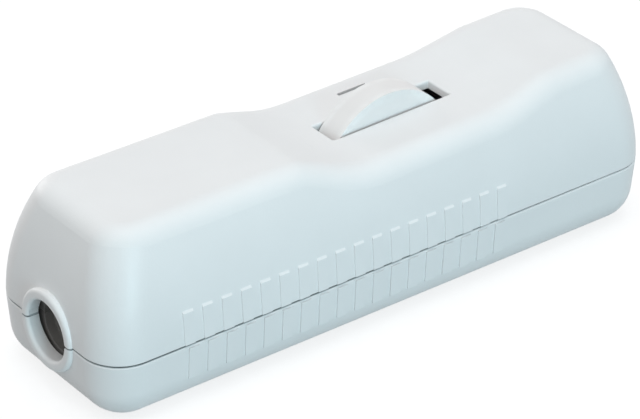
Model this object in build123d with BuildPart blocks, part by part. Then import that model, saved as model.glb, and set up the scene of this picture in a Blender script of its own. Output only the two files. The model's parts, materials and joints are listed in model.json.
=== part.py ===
from build123d import *

import math
import os

os.makedirs("parts", exist_ok=True)

# Inline cord dimmer, in millimetres. X runs along the cord, Y across, Z up.
# The origin is the middle of the flat underside. The long raised end is at -X, the wheel sits towards +X.

# Housing, overall
length = 120.5  # over the two end walls, at the joint between the shells
width = 36.6  # over the two long walls, at the same joint
height = 34.6  # from the table to the two raised ends
parting_z = 12.4  # height of the joint, and of the cord's axis
parting_gap = 0.2
wall = 1.8
top_wall = 1.6
bottom_wall = 1.8
plan_corner_r = 7.5
shoulder_r = 4.8
foot_r = 6.8
wall_lean = 0.6  # degrees, of the upper walls just above the joint
wall_curve_r = 50.0  # the upper walls curve in towards the top on this radius
base_lean = 3.5  # degrees, of the lower walls

# Saddle: a dip in the top, between two raised ends
crease_x = -15.9
floor_start_x = -4.2
floor_start_z = 30.6
floor_end_x = 28.2
floor_end_z = 31.35
rise_end_x = 39.0
rise_end_z = 34.0
crease_r = 6.5
dip_r = 22.0
rise_start_r = 26.0
rise_end_r = 14.0

# Joint between the shells
tongue_t = 0.7
tongue_step = 0.1  # from the wall's inner face to the tongue's
tongue_h = 1.4
tongue_clearance = 0.12
rabbet_overcut = 0.4  # past the upper wall's inner face
rim_chamfer = 0.25

# Grip ribs on both long sides
rib_count = 18
rib_pitch = 4.0
rib_width = 2.1
rib_proud = 0.26
rib_first_x = -44.9
rib_top_z = 19.2
rib_bottom_z = 5.7
rib_end_gap = 0.4  # from the middle of the joint
rib_top_slope = 0.4  # height over which the upper ribs run out into the wall
base_rib_first_x = -44.05  # the lower shell's ribs stand a little off the upper one's
base_rib_pitch = 3.92

# Cord entries, one at each end
entry_r = 5.5
collar_t = 2.0
collar_proud = 0.6
collar_edge_r = 0.7
tip_r = 1.5
tab_t = 0.7
tab_set_back = 0.1  # from the bore's wall
tab_drop = 1.9  # below the joint
tab_rise = 1.2  # above the joint
tab_clearance = 0.12

# Thumbwheel, its slot and the slit beside it
wheel_x = 10.65
wheel_z = 21.8
wheel_r = 13.8
wheel_width = 5.4
wheel_edge_r = 1.0
wheel_rim_t = 6.0
wheel_web_t = 1.8
hub_r = 4.0
hub_width = 5.8
slot_x = 11.0
slot_length = 26.2
slot_width = 6.2
slot_edge_r = 0.4
slit_length = 6.3
slit_width = 0.8
slit_x = 11.4
slit_y = 9.1

# Shaft of the wheel, with a flat along it
shaft_r = 2.0
shaft_flat = 1.5  # from the axis to the flat
shaft_fit = 0.03
bearing_clearance = 0.06
shaft_end_clearance = 0.6
shaft_end_edge = 0.3

# Potentiometer behind the wheel, switch in front of it
stand_r = 6.0
stand_gap = 0.35  # between the wheel's hub and each case
pot_depth = 4.4
pot_pocket_r = 5.0
pot_pocket_depth = 3.2
track_t = 1.0
wiper_r = 4.2
wiper_t = 1.4
wiper_gap = 0.9  # from the pocket's floor
wiper_lug_r = 4.75
wiper_lug_half_angle = 12.0
stop_r = 4.45
stop_half_angle = 16.0
switch_depth = 6.0
switch_floor = 0.8
switch_edge_r = 0.6
pin_r = 0.45
pin_clearance = 0.1
pin_pitch = 4.0
pin_drop = 1.2  # below the board

# Circuit board
board_top_z = 6.6
board_t = 1.6
board_half_length = 40.0
board_half_width = 13.6
board_end_x = 48.6
board_end_half_width = 5.25
board_corner_r = 1.0
support_x = 37.0
support_y = 11.2
board_screw_x = -1.5
board_screw_r = 1.2
board_screw_head_r = 2.2
board_screw_head_h = 1.6
board_screw_bite = 2.6
post_r = 2.6

# Housing screws, up through the lower shell into the upper one
housing_screw_x = 44.5
housing_screw_y = 9.4
boss_r = 3.3
base_post_r = 3.9
housing_screw_r = 1.45
housing_screw_head_r = 2.6
housing_screw_head_h = 1.8
housing_screw_length = 16.0
head_seat_z = 2.7
head_clearance = 0.25
screw_hole_clearance = 0.25
pilot_clearance = 0.05
pilot_extra = 1.0
screw_slot_w = 0.6
screw_slot_d = 0.6
screw_head_round = 0.45  # of the head's height
sharp_tip = 0.6  # of the shank's radius
blunt_tip = 0.2

# Cord clamps
clamp_gap = 0.9  # from the end wall to the clamp
clamp_side_gap = 0.25
clamp_length = 6.8
clamp_half_width = 10.8
clamp_channel_step = 0.5  # the cord's channel is narrower than the entry
clamp_tooth_h = 0.6
clamp_tooth_w = 0.9
clamp_tooth_pitch = 2.6
clamp_arch_t = 1.9
clamp_flange_t = 2.4
clamp_screw_y = 8.6
clamp_screw_r = 1.2
clamp_screw_head_r = 1.75
clamp_screw_head_h = 1.5
clamp_screw_length = 8.0

# Terminal blocks
terminal_length = 8.0
terminal_half_width = 5.1
terminal_height = 9.6
terminal_pole_y = 2.5
terminal_wire_r = 1.6
terminal_edge_r = 0.4
cage_lift = 1.0  # above the board
cage_length = 5.2
cage_width = 4.0
cage_height = 5.6
cage_bore_r = 1.4
cage_bore_z = 2.3  # above the cage's underside
cage_clearance = 0.1
terminal_screw_r = 1.1
terminal_screw_head_r = 1.6
terminal_screw_head_h = 1.5
terminal_screw_lift = 0.5
terminal_screw_length = 2.2

# Power parts on the long end of the board
choke_x = -24.0
choke_y = -5.6
choke_core_r = 4.0
choke_core_length = 30.0
choke_core_edge = 0.4
choke_winding_r = 6.4
choke_winding_length = 22.0
choke_turns = 14
choke_groove = 0.5
choke_fit = 0.05
choke_lead_x = 10.0
choke_lead_r = 0.5
film_cap_x = -31.2
film_cap_y = 7.2
film_cap_size = (16.0, 8.4, 13.6)
film_cap_edge_r = 0.8
film_cap_lead_pitch = 14.0
heatsink_x = -14.0
heatsink_y = 10.2  # inner face, against the triac's tab
heatsink_t = 1.4
heatsink_length = 17.0
heatsink_top_z = 27.2
heatsink_corner = 2.0
heatsink_pin_x = 6.0
triac_w = 10.0
triac_body_t = 3.2
triac_tab_t = 1.3
triac_body_h = 9.0
triac_tab_h = 15.4
triac_low_z = 11.0
triac_hole_z = 23.4
triac_hole_r = 1.8
triac_lead_pitch = 2.54
triac_edge = 0.5
heatsink_screw_r = 1.5
heatsink_screw_head_r = 2.7
heatsink_screw_head_h = 2.0
nut_r = 3.1
nut_t = 2.3

# Small parts
small_gap = 0.3
lead_r = 0.35
lead_bend_r = 0.8
fuse_x = 34.4
fuse_r = 2.6
fuse_length = 20.0
fuse_cap_length = 5.2
fuse_cap_t = 0.3
fuse_glass_fit = 0.05
fuse_bore_r = 1.6
clip_t = 0.5
clip_fit = 0.05
clip_w = 4.4
clip_y = 7.4
clip_foot = 6.0
clip_mouth_half_angle = 50.0
clip_pin_x = 2.0
resistor_r = 1.25
resistor_length = 6.4
resistor_edge_r = 0.5
resistor_lead_pitch = 10.2
resistor_x = 23.6
resistor_rows = (-4.6, -7.8, -11.0)
timing_cap_size = (7.2, 3.2, 8.0)
timing_cap_edge_r = 0.5
timing_cap_lead_pitch = 5.0
timing_cap_x = 23.0
timing_cap_rows = (4.6, 9.2)
diac_x = 1.6
diac_y = -5.6
diac_r = 1.0
diac_length = 4.0
diac_edge_r = 0.4
diac_lead_pitch = 7.6
lamp_x = 11.2
lamp_y = 11.0
lamp_z = 24.6
lamp_r = 1.9
lamp_nose_r = 1.7
lamp_base_r = 0.3
lamp_length = 9.4
lamp_lead_y = 0.6
lamp_lead_x = 18.0

# Worked out from the sizes above
half_length = length / 2
half_width = width / 2
upper_low_z = parting_z + parting_gap / 2
lower_high_z = parting_z - parting_gap / 2
board_low_z = board_top_z - board_t
lead_low_z = board_low_z - pin_drop
inner_end_x = half_length - wall
tongue_inset = wall - tongue_step - tongue_t
rabbet_inset = tongue_inset - tongue_clearance
collar_r = entry_r + collar_t
collar_x = half_length + collar_proud
clamp_outer_x = inner_end_x - clamp_gap
clamp_inner_x = clamp_outer_x - clamp_length
clamp_x = (clamp_outer_x + clamp_inner_x) / 2
clamp_channel_r = entry_r - clamp_channel_step
clamp_arch_r = clamp_channel_r + clamp_arch_t
terminal_x = board_end_x - terminal_length / 2
cage_low_z = board_top_z + cage_lift
hub_face_y = hub_width / 2
stand_y = hub_face_y + stand_gap
ends = (-1, 1)
sides = (-1, 1)
edge_tolerance = 0.05
rim_margin = 1.0  # by which the top's outer edges are told from the rest


def save(piece, name):
    """Label a finished piece and write it to its own file."""
    piece.part.label = name
    export_step(piece.part, "parts/" + name + ".step")


def curved_reach(half, z, inset):
    """How far the upper shell's curved wall stands from the middle at a height, moved in by inset."""
    lean = math.radians(wall_lean)
    centre = half - wall_curve_r * math.cos(lean)
    centre_z = parting_z - wall_curve_r * math.sin(lean)
    return centre + math.sqrt((wall_curve_r - inset) ** 2 - (z - centre_z) ** 2)


def straight_reach(half, z, inset):
    """How far the lower shell's leaning wall stands from the middle at a height, moved in by inset."""
    return half - inset - (parting_z - z) * math.tan(math.radians(base_lean))


def upper_form(inset, top_inset):
    """Outline solid of the upper shell, its walls moved in by inset and its top down by top_inset."""
    top = height - top_inset
    middle_z = (upper_low_z + top) / 2
    heights = (upper_low_z, middle_z, top)
    low_x, middle_x, high_x = (curved_reach(half_length, z, inset) for z in heights)
    low_y, middle_y, high_y = (curved_reach(half_width, z, inset) for z in heights)
    with BuildPart() as form:
        with BuildSketch(Plane.XZ):
            with BuildLine():
                ThreePointArc((-low_x, upper_low_z), (-middle_x, middle_z), (-high_x, top))
                FilletPolyline(
                    (-high_x, top),
                    (crease_x, top),
                    (floor_start_x, floor_start_z - top_inset),
                    (floor_end_x, floor_end_z - top_inset),
                    (rise_end_x, rise_end_z - top_inset),
                    (high_x, top),
                    radius=[
                        crease_r - top_inset,
                        dip_r + top_inset,
                        rise_start_r + top_inset,
                        rise_end_r - top_inset,
                    ],
                )
                ThreePointArc((high_x, top), (middle_x, middle_z), (low_x, upper_low_z))
                Line((low_x, upper_low_z), (-low_x, upper_low_z))
            make_face()
        extrude(amount=width, both=True)
        with BuildSketch(Plane.YZ):
            with BuildLine():
                ThreePointArc((-low_y, upper_low_z), (-middle_y, middle_z), (-high_y, top))
                Line((-high_y, top), (high_y, top))
                ThreePointArc((high_y, top), (middle_y, middle_z), (low_y, upper_low_z))
                Line((low_y, upper_low_z), (-low_y, upper_low_z))
            make_face()
        extrude(amount=length, both=True, mode=Mode.INTERSECT)
        uprights = form.edges().filter_by(
            lambda e: abs(e.center().X) > half_length * 0.8
            and abs(e.center().Y) > half_width * 0.6
            and e.bounding_box().size.Z > height / 3
        )
        fillet(uprights, radius=plan_corner_r - inset)
        rim = form.edges().filter_by(
            lambda e: e.bounding_box().min.Z > floor_start_z - top_inset - rim_margin
            and (abs(e.center().Y) > rim_margin or abs(e.center().X) > half_length * 0.8)
        )
        fillet(rim, radius=shoulder_r - inset)
    return form.part


def lower_form(inset, low_z):
    """Outline solid of the lower shell, its walls moved in by inset and its floor at low_z."""
    low_x, high_x = (straight_reach(half_length, z, inset) for z in (low_z, lower_high_z))
    low_y, high_y = (straight_reach(half_width, z, inset) for z in (low_z, lower_high_z))
    with BuildPart() as form:
        with BuildSketch(Plane.XZ):
            with BuildLine():
                Polyline(
                    (-low_x, low_z),
                    (low_x, low_z),
                    (high_x, lower_high_z),
                    (-high_x, lower_high_z),
                    close=True,
                )
            make_face()
        extrude(amount=width, both=True)
        with BuildSketch(Plane.YZ):
            with BuildLine():
                Polyline(
                    (-low_y, low_z),
                    (low_y, low_z),
                    (high_y, lower_high_z),
                    (-high_y, lower_high_z),
                    close=True,
                )
            make_face()
        extrude(amount=length, both=True, mode=Mode.INTERSECT)
        uprights = form.edges().filter_by(
            lambda e: abs(e.center().X) > half_length * 0.8
            and abs(e.center().Y) > half_width * 0.6
            and e.bounding_box().size.Z > parting_z / 2
        )
        fillet(uprights, radius=plan_corner_r - inset)
        fillet(form.faces().sort_by(Axis.Z)[0].edges(), radius=foot_r - inset)
    return form.part


upper_outline = upper_form(0, 0)
upper_hollow = upper_form(wall, top_wall)
lower_outline = lower_form(0, 0)
lower_hollow = lower_form(wall, bottom_wall)
clamp_seat = lower_form(wall + clamp_side_gap, bottom_wall)

housing_screw_places = [(x * housing_screw_x, y * housing_screw_y) for x in ends for y in sides]
board_screw_places = [(board_screw_x, y * support_y) for y in sides]
support_places = [(x * support_x, y * support_y) for x in ends for y in sides]
pilot_top_z = head_seat_z + housing_screw_length + pilot_extra


def rib_row(low_z, high_z, slope, reach, first_x, pitch):
    """Row of upright grip ribs on both long sides, between two heights, their tops sloping into the wall."""
    outer_high_z = high_z - slope
    inner_high_z = high_z + slope * wall / 2 / rib_proud
    with BuildPart() as ribs:
        for side in sides:
            outer_low, outer_high = (side * reach(half_width, z, -rib_proud) for z in (low_z, outer_high_z))
            inner_low, inner_high = (side * reach(half_width, z, wall / 2) for z in (low_z, inner_high_z))
            for i in range(rib_count):
                with BuildSketch(Plane.YZ.offset(first_x + i * pitch)):
                    with BuildLine():
                        Polyline(
                            (outer_low, low_z),
                            (outer_high, outer_high_z),
                            (inner_high, inner_high_z),
                            (inner_low, low_z),
                            close=True,
                        )
                    make_face()
                extrude(amount=rib_width)
    return ribs.part


def half_collar(end, low_z, high_z):
    """Half of the ring round a cord entry, between two heights, standing out of one end wall."""
    with BuildPart() as ring:
        with BuildSketch(Plane.YZ.offset(end * inner_end_x)):
            with Locations((0, parting_z)):
                Circle(collar_r)
            with Locations((0, (low_z + high_z) / 2)):
                Rectangle(2 * collar_r, high_z - low_z, mode=Mode.INTERSECT)
        extrude(amount=end * (collar_x - inner_end_x))
        front = ring.faces().sort_by(Axis.X, reverse=end > 0)[0]
        fillet(front.edges().filter_by(GeomType.CIRCLE), collar_edge_r)
    return ring.part


def entry_fronts(shell):
    """The front edges of both cord entries' bore."""
    return shell.edges().filter_by(GeomType.CIRCLE).filter_by(
        lambda e: abs(abs(e.center().X) - collar_x) < edge_tolerance
        and abs(e.radius - entry_r) < edge_tolerance
    )


def tip_corners(away):
    """What rounding takes off the bore's corners at the joint, -Y side: away is 1 above it, -1 below."""
    corner = (-entry_r, away * parting_gap / 2)
    with BuildSketch() as square:
        with Locations((corner[0], corner[1] + away * tip_r)):
            Rectangle(4 * tip_r, 2 * tip_r)
        Circle(entry_r, mode=Mode.SUBTRACT)
    with BuildSketch() as rounded:
        add(square.sketch)
        fillet(rounded.vertices().sort_by_distance((*corner, 0))[0], tip_r)
    with BuildPart() as both_ends:
        for end in ends:
            with BuildSketch(Plane.YZ.offset(end * inner_end_x)):
                with Locations((0, parting_z)):
                    add(square.sketch)
                    add(rounded.sketch, mode=Mode.SUBTRACT)
            extrude(amount=end * (collar_x - inner_end_x))
    return both_ends.part


def tab_ring(end, grow):
    """The tab inside one side of a cord entry, grown all round by grow to make its recess."""
    with BuildPart() as tab:
        with BuildSketch(Plane.YZ.offset(end * (inner_end_x - grow))):
            with Locations((0, parting_z)):
                Circle(entry_r + tab_set_back + tab_t + grow)
                Circle(entry_r + tab_set_back - grow, mode=Mode.SUBTRACT)
            with Locations((collar_r / 2, parting_z + (tab_rise - tab_drop) / 2)):
                Rectangle(collar_r, tab_rise + tab_drop + 2 * grow, mode=Mode.INTERSECT)
        extrude(amount=end * (collar_x - collar_edge_r - inner_end_x + 2 * grow))
    return tab.part


with BuildPart() as upper_shell:
    add(upper_outline)
    chamfer(upper_shell.faces().sort_by(Axis.Z)[0].edges(), rim_chamfer)
    rib_low_z = parting_z + rib_end_gap
    add(rib_row(rib_low_z, rib_top_z, rib_top_slope, curved_reach, rib_first_x, rib_pitch))
    for end in ends:
        add(half_collar(end, upper_low_z, parting_z + collar_r))
    add(upper_hollow, mode=Mode.SUBTRACT)
    # Screw bosses, kept inside the hollow
    with BuildPart(mode=Mode.PRIVATE) as bosses:
        with BuildSketch(Plane.XY.offset(upper_low_z)):
            with Locations(housing_screw_places):
                Circle(boss_r)
        extrude(amount=height - upper_low_z)
        add(upper_outline, mode=Mode.INTERSECT)
    add(bosses.part)
    with BuildSketch(Plane.XY.offset(upper_low_z)):
        with Locations(housing_screw_places):
            Circle(housing_screw_r + pilot_clearance)
    extrude(amount=pilot_top_z - upper_low_z, mode=Mode.SUBTRACT)
    # Cord entries
    with BuildSketch(Plane.YZ):
        with Locations((0, parting_z)):
            Circle(entry_r)
    extrude(amount=length, both=True, mode=Mode.SUBTRACT)
    fillet(entry_fronts(upper_shell), collar_edge_r)
    add(tip_corners(1), mode=Mode.SUBTRACT)
    for end in ends:
        add(tab_ring(end, tab_clearance), mode=Mode.SUBTRACT)
    # Rabbet that the lower shell's tongue fits
    with BuildSketch(Plane.XY.offset(upper_low_z)):
        for inset, mode in ((rabbet_inset, Mode.ADD), (wall + rabbet_overcut, Mode.SUBTRACT)):
            RectangleRounded(length - 2 * inset, width - 2 * inset, plan_corner_r - inset, mode=mode)
        Rectangle(length, 2 * collar_r, mode=Mode.SUBTRACT)
    extrude(amount=tongue_h + tongue_clearance, mode=Mode.SUBTRACT)
    # Slot for the wheel and the slit beside it
    with BuildSketch(Plane.XY.offset(floor_start_z - 3 * top_wall)):
        with Locations((slot_x, 0)):
            Rectangle(slot_length, slot_width)
        with Locations((slit_x, slit_y)):
            Rectangle(slit_length, slit_width)
    extrude(amount=height, mode=Mode.SUBTRACT)
    slot_rim = upper_shell.edges().filter_by(
        lambda e: abs(e.center().X - slot_x) < slot_length / 2 + edge_tolerance
        and abs(e.center().Y) < slot_width / 2 + edge_tolerance
        and e.center().Z > floor_start_z - top_wall / 2
        and e.bounding_box().size.Z < top_wall
    )
    fillet(slot_rim, slot_edge_r)
save(upper_shell, "upper_shell")

with BuildPart() as lower_shell:
    add(lower_outline)
    chamfer(lower_shell.faces().sort_by(Axis.Z)[-1].edges(), rim_chamfer)
    rib_high_z = parting_z - rib_end_gap
    add(rib_row(rib_bottom_z, rib_high_z, 0, straight_reach, base_rib_first_x, base_rib_pitch))
    for end in ends:
        add(half_collar(end, parting_z - collar_r, lower_high_z))
    add(lower_hollow, mode=Mode.SUBTRACT)
    # Screw posts and board supports
    with BuildPart(mode=Mode.PRIVATE) as posts:
        with BuildSketch(Plane.XY):
            with Locations(housing_screw_places):
                Circle(base_post_r)
        extrude(amount=lower_high_z)
        with BuildSketch(Plane.XY):
            with Locations(board_screw_places + support_places):
                Circle(post_r)
        extrude(amount=board_low_z)
        add(lower_outline, mode=Mode.INTERSECT)
    add(posts.part)
    with BuildSketch(Plane.XY):
        with Locations(housing_screw_places):
            Circle(housing_screw_r + screw_hole_clearance)
    extrude(amount=lower_high_z, mode=Mode.SUBTRACT)
    with BuildSketch(Plane.XY):
        with Locations(housing_screw_places):
            Circle(housing_screw_head_r + head_clearance)
    extrude(amount=head_seat_z, mode=Mode.SUBTRACT)
    # Tongue round the rim
    with BuildSketch(Plane.XY.offset(lower_high_z - wall)):
        for inset, mode in ((tongue_inset, Mode.ADD), (wall - tongue_step, Mode.SUBTRACT)):
            RectangleRounded(length - 2 * inset, width - 2 * inset, plan_corner_r - inset, mode=mode)
        Rectangle(length, 2 * (collar_r + tongue_clearance), mode=Mode.SUBTRACT)
    extrude(amount=wall + parting_gap + tongue_h)
    with BuildSketch(Plane.YZ):
        with Locations((0, parting_z)):
            Circle(entry_r)
    extrude(amount=length, both=True, mode=Mode.SUBTRACT)
    fillet(entry_fronts(lower_shell), collar_edge_r)
    add(tip_corners(-1), mode=Mode.SUBTRACT)
    for end in ends:
        add(tab_ring(end, 0))
    with BuildSketch(Plane.XY.offset(bottom_wall)):
        with Locations(board_screw_places):
            Circle(board_screw_r + pilot_clearance)
    extrude(amount=board_low_z - bottom_wall, mode=Mode.SUBTRACT)
save(lower_shell, "lower_shell")


# Thumbwheel: hub, web and rim, turned about the shaft's axis
wheel_axis = Axis((wheel_x, 0, wheel_z), (0, 1, 0))
wheel_plane = Plane(origin=(wheel_x, 0, wheel_z), x_dir=(1, 0, 0), z_dir=(0, 0, 1))
with BuildPart() as thumbwheel:
    with BuildSketch(wheel_plane):
        with Locations((hub_r / 2, 0)):
            Rectangle(hub_r, hub_width)
        with Locations((wheel_r / 2, 0)):
            Rectangle(wheel_r, wheel_web_t)
        with Locations((wheel_r - wheel_rim_t / 2, 0)):
            rim_section = Rectangle(wheel_rim_t, wheel_width)
        corners = rim_section.vertices().group_by(Axis.X)[-1]
        fillet(corners, wheel_edge_r)
    revolve(axis=wheel_axis)
    with BuildSketch(Plane.XZ.offset(-hub_face_y)):
        with Locations((wheel_x, wheel_z)):
            Circle(shaft_r + shaft_fit)
            with Locations((0, shaft_flat + shaft_fit + shaft_r)):
                Rectangle(4 * shaft_r, 2 * shaft_r, mode=Mode.SUBTRACT)
    extrude(amount=hub_width, mode=Mode.SUBTRACT)
save(thumbwheel, "thumbwheel")

with BuildPart() as wheel_shaft:
    with BuildSketch(Plane.XZ.offset(-(stand_y + pot_depth + track_t))):
        with Locations((wheel_x, wheel_z)):
            Circle(shaft_r)
            with Locations((0, shaft_flat + shaft_r)):
                Rectangle(4 * shaft_r, 2 * shaft_r, mode=Mode.SUBTRACT)
    extrude(amount=2 * stand_y + pot_depth + track_t + switch_depth - switch_floor - shaft_end_clearance)
    chamfer(wheel_shaft.faces().sort_by(Axis.Y)[-1].edges(), shaft_end_edge)
save(wheel_shaft, "wheel_shaft")


def sector(radius, direction, half_angle):
    """Pie slice about the local origin, pointing in a direction given in degrees."""
    with BuildSketch() as slice_of_pie:
        with BuildLine():
            PolarLine((0, 0), radius, direction - half_angle)
            arc = CenterArc((0, 0), radius, direction - half_angle, 2 * half_angle)
            Line(arc @ 1, (0, 0))
        make_face()
    return slice_of_pie.sketch


# Potentiometer: an open case, the plate with the resistance track that closes it, and the wiper on the shaft
pot_outer_y = stand_y + pot_depth


def stand_outline():
    """Outline of an upright case: straight sides from the board, round over the shaft."""
    with BuildSketch() as outline:
        Circle(stand_r)
        with Locations((0, (board_top_z - wheel_z) / 2)):
            Rectangle(2 * stand_r, wheel_z - board_top_z)
    return outline.sketch


with BuildPart() as potentiometer_case:
    with BuildSketch(Plane.XZ.offset(-pot_outer_y)):
        with Locations((wheel_x, wheel_z)):
            add(stand_outline())
    extrude(amount=pot_depth)
    with BuildSketch(Plane.XZ.offset(-pot_outer_y)):
        with Locations((wheel_x, wheel_z)):
            Circle(pot_pocket_r)
    extrude(amount=pot_pocket_depth, mode=Mode.SUBTRACT)
    with BuildSketch(Plane.XZ.offset(-pot_outer_y)):
        with Locations((wheel_x, wheel_z)):
            Circle(shaft_r + bearing_clearance)
    extrude(amount=pot_depth, mode=Mode.SUBTRACT)
    # The stop that the wiper's lug meets at both ends of its turn
    with BuildSketch(Plane.XZ.offset(-pot_outer_y)):
        with Locations((wheel_x, wheel_z)):
            add(sector(pot_pocket_r, -90, stop_half_angle))
            Circle(stop_r, mode=Mode.SUBTRACT)
    extrude(amount=pot_pocket_depth)
save(potentiometer_case, "potentiometer_case")

with BuildPart() as resistance_plate:
    with BuildSketch(Plane.XZ.offset(-pot_outer_y - track_t)):
        with Locations((wheel_x, wheel_z)):
            add(stand_outline())
            Circle(shaft_r + bearing_clearance, mode=Mode.SUBTRACT)
    extrude(amount=track_t)
save(resistance_plate, "resistance_plate")

with BuildPart() as wiper:
    with BuildSketch(Plane.XZ.offset(-(pot_outer_y - pot_pocket_depth + wiper_gap + wiper_t))):
        with Locations((wheel_x, wheel_z)):
            add(sector(wiper_lug_r, 90, wiper_lug_half_angle))
            Circle(wiper_r)
            Circle(shaft_r + shaft_fit, mode=Mode.SUBTRACT)
            with Locations((0, shaft_flat + shaft_fit + shaft_r / 4)):
                Rectangle(2 * shaft_r, shaft_r / 2)
    extrude(amount=wiper_t)
save(wiper, "wiper")

# Switch on the same shaft, in front of the wheel
with BuildPart() as switch_case:
    with BuildSketch(Plane.XZ.offset(stand_y)):
        with Locations((wheel_x, wheel_z)):
            add(stand_outline())
    extrude(amount=switch_depth)
    front = switch_case.faces().sort_by(Axis.Y)[0].edges()
    fillet(front.filter_by(lambda e: e.center().Z > board_top_z + edge_tolerance), switch_edge_r)
    with BuildSketch(Plane.XZ.offset(stand_y)):
        with Locations((wheel_x, wheel_z)):
            Circle(shaft_r + bearing_clearance)
    extrude(amount=switch_depth - switch_floor, mode=Mode.SUBTRACT)
save(switch_case, "switch_case")

# Pins and wires that go down through the board: each list gives the places of one piece's pins
potentiometer_pins_at = [(wheel_x + i * pin_pitch, stand_y + pot_depth / 2) for i in (-1, 0, 1)]
switch_pins_at = [(wheel_x + i * pin_pitch, -stand_y - switch_depth / 2) for i in (-1, 1)]
clip_pins_at = [(fuse_x + i * clip_pin_x, j * clip_y) for i in ends for j in sides]
cage_pins_at = [(i * terminal_x, j * terminal_pole_y) for i in ends for j in sides]
choke_leads_at = [(choke_x + i * choke_lead_x, choke_y) for i in ends]
film_cap_leads_at = [(film_cap_x + i * film_cap_lead_pitch / 2, film_cap_y) for i in ends]
heatsink_pins_at = [(heatsink_x + i * heatsink_pin_x, heatsink_y + heatsink_t / 2) for i in ends]
triac_front_y = heatsink_y - triac_tab_t - triac_body_t
triac_leads_at = [(heatsink_x + i * triac_lead_pitch, triac_front_y + triac_body_t / 2) for i in (-1, 0, 1)]
timing_cap_leads_at = [
    (timing_cap_x + i * timing_cap_lead_pitch / 2, y) for y in timing_cap_rows for i in ends
]
resistor_leads_at = [(resistor_x + i * resistor_lead_pitch / 2, y) for y in resistor_rows for i in ends]
diac_leads_at = [(diac_x, diac_y + i * diac_lead_pitch / 2) for i in ends]
lamp_leads_at = [(lamp_lead_x, lamp_y + i * lamp_lead_y) for i in sides]
thick_pins_at = potentiometer_pins_at + switch_pins_at + clip_pins_at + cage_pins_at + heatsink_pins_at
thin_leads_at = film_cap_leads_at + timing_cap_leads_at + resistor_leads_at + diac_leads_at
thin_leads_at += triac_leads_at + lamp_leads_at

with BuildPart() as circuit_board:
    with BuildSketch(Plane.XY.offset(board_low_z)) as board_outline:
        Rectangle(2 * board_half_length, 2 * board_half_width)
        Rectangle(2 * board_end_x, 2 * board_end_half_width)
        fillet(board_outline.vertices(), board_corner_r)
        with Locations(thick_pins_at):
            Circle(pin_r + pin_clearance, mode=Mode.SUBTRACT)
        with Locations(choke_leads_at):
            Circle(choke_lead_r + pin_clearance, mode=Mode.SUBTRACT)
        with Locations(thin_leads_at):
            Circle(lead_r + pin_clearance, mode=Mode.SUBTRACT)
        with Locations(board_screw_places):
            Circle(board_screw_r + screw_hole_clearance, mode=Mode.SUBTRACT)
    extrude(amount=board_t)
save(circuit_board, "circuit_board")


def pins(places, radius, top_z):
    """Upright pins from below the board to a height."""
    with BuildPart() as group:
        with BuildSketch(Plane.XY.offset(lead_low_z)):
            with Locations(places):
                Circle(radius)
        extrude(amount=top_z - lead_low_z)
    return group.part


with BuildPart() as potentiometer_pins:
    add(pins(potentiometer_pins_at, pin_r, board_top_z))
save(potentiometer_pins, "potentiometer_pins")

with BuildPart() as switch_pins:
    add(pins(switch_pins_at, pin_r, board_top_z))
save(switch_pins, "switch_pins")

# Triac, bolted by its tab to an aluminium plate
tab_front_y = heatsink_y - triac_tab_t
with BuildPart() as triac_body:
    with BuildSketch(Plane.XY.offset(triac_low_z)):
        with Locations((heatsink_x, triac_front_y + triac_body_t / 2)):
            Rectangle(triac_w, triac_body_t)
    extrude(amount=triac_body_h)
    chamfer(triac_body.faces().sort_by(Axis.Y)[0].edges(), triac_edge)
save(triac_body, "triac_body")

with BuildPart() as triac_tab:
    with BuildSketch(Plane.XZ.offset(-heatsink_y)):
        with Locations((heatsink_x, triac_low_z + triac_tab_h / 2)):
            Rectangle(triac_w, triac_tab_h)
        with Locations((heatsink_x, triac_hole_z)):
            Circle(triac_hole_r, mode=Mode.SUBTRACT)
    extrude(amount=triac_tab_t)
    add(pins(triac_leads_at, lead_r, triac_low_z))
save(triac_tab, "triac_tab")

with BuildPart() as heatsink:
    with BuildSketch(Plane.XZ.offset(-heatsink_y - heatsink_t)) as plate:
        with Locations((heatsink_x, (board_top_z + heatsink_top_z) / 2)):
            Rectangle(heatsink_length, heatsink_top_z - board_top_z)
        chamfer(plate.vertices().group_by(Axis.Z)[-1], heatsink_corner)
        with Locations((heatsink_x, triac_hole_z)):
            Circle(triac_hole_r, mode=Mode.SUBTRACT)
    extrude(amount=heatsink_t)
    add(pins(heatsink_pins_at, pin_r, board_top_z))
save(heatsink, "heatsink")


def slotted_head(radius, height):
    """Round screw head standing on the local origin, rounded on top, with a slot across it."""
    with BuildPart() as head:
        Cylinder(radius, height, align=(Align.CENTER, Align.CENTER, Align.MIN))
        fillet(head.faces().sort_by(Axis.Z)[-1].edges(), height * screw_head_round)
        with Locations((0, 0, height)):
            Box(3 * radius, screw_slot_w, 2 * screw_slot_d, mode=Mode.SUBTRACT)
    return head.part


def screw(head_r, head_h, shank_r, shank_length, tip):
    """Screw with the underside of its head on the local origin and its shank along -Z."""
    with BuildPart() as body:
        add(slotted_head(head_r, head_h))
        Cylinder(shank_r, shank_length, align=(Align.CENTER, Align.CENTER, Align.MAX))
        chamfer(body.faces().sort_by(Axis.Z)[0].edges(), shank_r * tip)
    return body.part


with BuildPart() as heatsink_screw:
    bolt_length = triac_tab_t + heatsink_t + nut_t
    with Locations(Plane(origin=(heatsink_x, tab_front_y, triac_hole_z), x_dir=(1, 0, 0), z_dir=(0, -1, 0))):
        add(screw(heatsink_screw_head_r, heatsink_screw_head_h, heatsink_screw_r, bolt_length, blunt_tip))
save(heatsink_screw, "heatsink_screw")

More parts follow.
